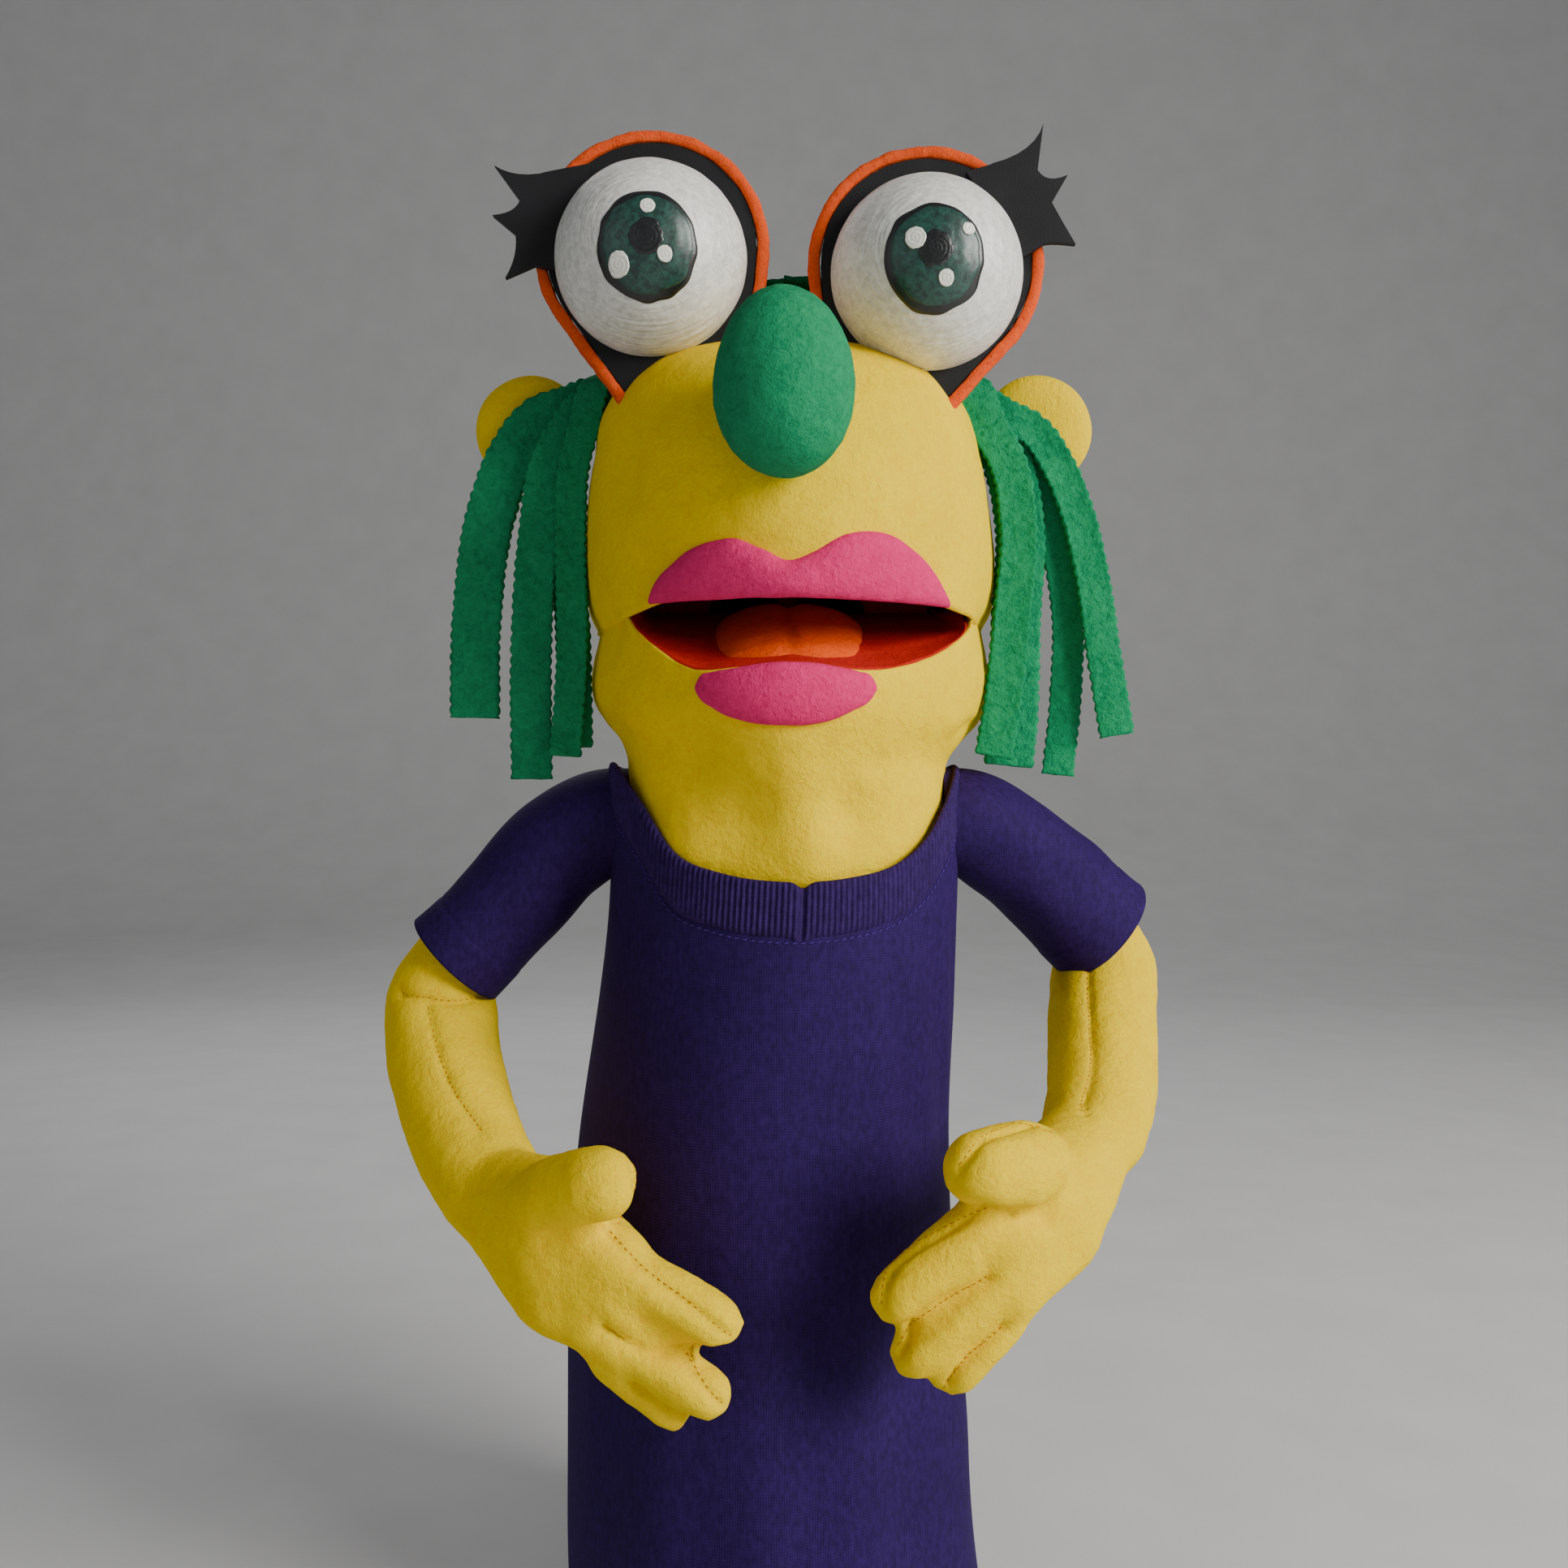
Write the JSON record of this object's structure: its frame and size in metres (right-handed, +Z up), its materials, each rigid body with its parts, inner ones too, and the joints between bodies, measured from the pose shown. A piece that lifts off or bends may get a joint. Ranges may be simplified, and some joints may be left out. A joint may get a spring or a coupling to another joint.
{
  "type": "moving mouth puppet",
  "caption": "Fleece hand puppet with a hinged mouth, ball eyes on foam plates, egg nose, strip hair and stuffed, wired arms in a T-shirt.",
  "frame": {"origin": "centre of the arm opening, in the plane of the hem", "axes": "+Z up along the body sleeve, the face looks along -Y, +X is the puppet's own left"},
  "size_m": [0.2616, 0.1815, 0.4853],
  "materials": {
    "yellow_fleece": "brushed fleece",
    "purple_jersey": "fine knit jersey",
    "purple_rib": "ribbed knit",
    "foam": "open-cell foam",
    "green_fleece": "brushed fleece",
    "pink_fleece": "brushed fleece",
    "red_lining": "felt",
    "black_felt": "felt",
    "orange_fleece": "brushed fleece",
    "orange_felt": "felt strip",
    "black_foam": "craft foam sheet",
    "eye_paint": "brush-painted, satin varnish",
    "board": "stiff board",
    "elastic": "woven elastic",
    "wire": "soft bendable wire"
  },
  "bodies": {
    "torso": {"body_sleeve": "yellow_fleece", "shirt_body": "purple_jersey", "shirt_collar": "purple_rib", "shirt_hem": "purple_jersey"},
    "neck": {"neck_ring": "foam"},
    "head": {"neck_skin": "yellow_fleece", "head_foam": "foam", "head_skin": "yellow_fleece", "mouth_board_upper": "board", "mouth_lining_upper": "red_lining", "throat_patch": "black_felt", "mouth_hinge_tape": "red_lining", "finger_strap": "elastic", "lip_upper": "pink_fleece", "nose_foam": "foam", "nose_cover": "green_fleece", "eye_plate_left": "black_foam", "eye_plate_right": "black_foam", "eye_rim_left": "orange_felt", "eye_rim_right": "orange_felt", "eye_left": "eye_paint", "eye_right": "eye_paint", "lash_left": "black_foam", "lash_right": "black_foam", "ear_left": "yellow_fleece", "ear_right": "yellow_fleece", "hair_crown": "green_fleece"},
    "jaw": {"mouth_board_lower": "board", "mouth_lining_lower": "red_lining", "tongue": "orange_fleece", "lip_lower": "pink_fleece", "jaw_foam": "foam", "jaw_skin": "yellow_fleece", "thumb_strap": "elastic"},
    "hair_left": {"hair_left_inner": "green_fleece", "hair_left_middle": "green_fleece", "hair_left_outer": "green_fleece", "hair_left_back": "green_fleece"},
    "hair_right": {"hair_right_inner": "green_fleece", "hair_right_middle": "green_fleece", "hair_right_outer": "green_fleece", "hair_right_back": "green_fleece"},
    "sleeve_left": {"sleeve_left": "purple_jersey", "sleeve_hem_left": "purple_jersey"},
    "upper_arm_left": {"upper_arm_left": "yellow_fleece", "upper_wire_left": "wire"},
    "forearm_left": {"forearm_left": "yellow_fleece", "fore_wire_left": "wire"},
    "hand_left": {"hand_left": "yellow_fleece"},
    "sleeve_right": {"sleeve_right": "purple_jersey", "sleeve_hem_right": "purple_jersey"},
    "upper_arm_right": {"upper_arm_right": "yellow_fleece", "upper_wire_right": "wire"},
    "forearm_right": {"forearm_right": "yellow_fleece", "fore_wire_right": "wire"},
    "hand_right": {"hand_right": "yellow_fleece"}
  },
  "joints": [
    {"name": "head_turn", "type": "hinge", "parent": "torso", "child": "neck", "pos_m": [0, 0, 0.262], "axis": [0, 0, 1], "range_deg": [-25, 25]},
    {"name": "head_nod", "type": "hinge", "parent": "neck", "child": "head", "pos_m": [0, 0, 0.262], "axis": [1, 0, 0], "range_deg": [-10, 8]},
    {"name": "jaw_open", "type": "hinge", "parent": "head", "child": "jaw", "pos_m": [0, 0.02, 0.34], "axis": [1, 0, 0], "range_deg": [-13, 12]},
    {"name": "hair_left_swing", "type": "hinge", "parent": "head", "child": "hair_left", "pos_m": [0.078, -0.005, 0.4], "axis": [0, -1, 0], "range_deg": [0, 30]},
    {"name": "hair_right_swing", "type": "hinge", "parent": "head", "child": "hair_right", "pos_m": [-0.078, -0.005, 0.4], "axis": [0, 1, 0], "range_deg": [0, 30]},
    {"name": "shoulder_left_lift", "type": "hinge", "parent": "torso", "child": "sleeve_left", "pos_m": [0.06, 0, 0.284], "axis": [0, -1, 0], "range_deg": [-4, 30]},
    {"name": "arm_left_roll", "type": "hinge", "parent": "sleeve_left", "child": "upper_arm_left", "pos_m": [0.112, 0.028, 0.215], "axis": [-0.6595, -0.3847, 0.6458], "range_deg": [0, 35]},
    {"name": "elbow_left_bend", "type": "hinge", "parent": "upper_arm_left", "child": "forearm_left", "pos_m": [0.112, 0.028, 0.215], "axis": [-0.7316, 0.5258, -0.4339], "range_deg": [-45, 3]},
    {"name": "wrist_left_bend", "type": "hinge", "parent": "forearm_left", "child": "hand_left", "pos_m": [0.097, -0.03, 0.17], "axis": [-0.5656, 0.5919, -0.5743], "range_deg": [-25, 8]},
    {"name": "shoulder_right_lift", "type": "hinge", "parent": "torso", "child": "sleeve_right", "pos_m": [-0.06, 0, 0.284], "axis": [0, 1, 0], "range_deg": [-4, 30]},
    {"name": "arm_right_roll", "type": "hinge", "parent": "sleeve_right", "child": "upper_arm_right", "pos_m": [-0.113, 0.002, 0.211], "axis": [-0.6925, 0.0283, -0.7208], "range_deg": [0, 35]},
    {"name": "elbow_right_bend", "type": "hinge", "parent": "upper_arm_right", "child": "forearm_right", "pos_m": [-0.113, 0.002, 0.211], "axis": [-0.4814, -0.7623, 0.4326], "range_deg": [-45, 3]},
    {"name": "wrist_right_bend", "type": "hinge", "parent": "forearm_right", "child": "hand_right", "pos_m": [-0.088, -0.045, 0.156], "axis": [-0.5973, -0.7233, 0.3466], "range_deg": [-25, 8]}
  ]
}
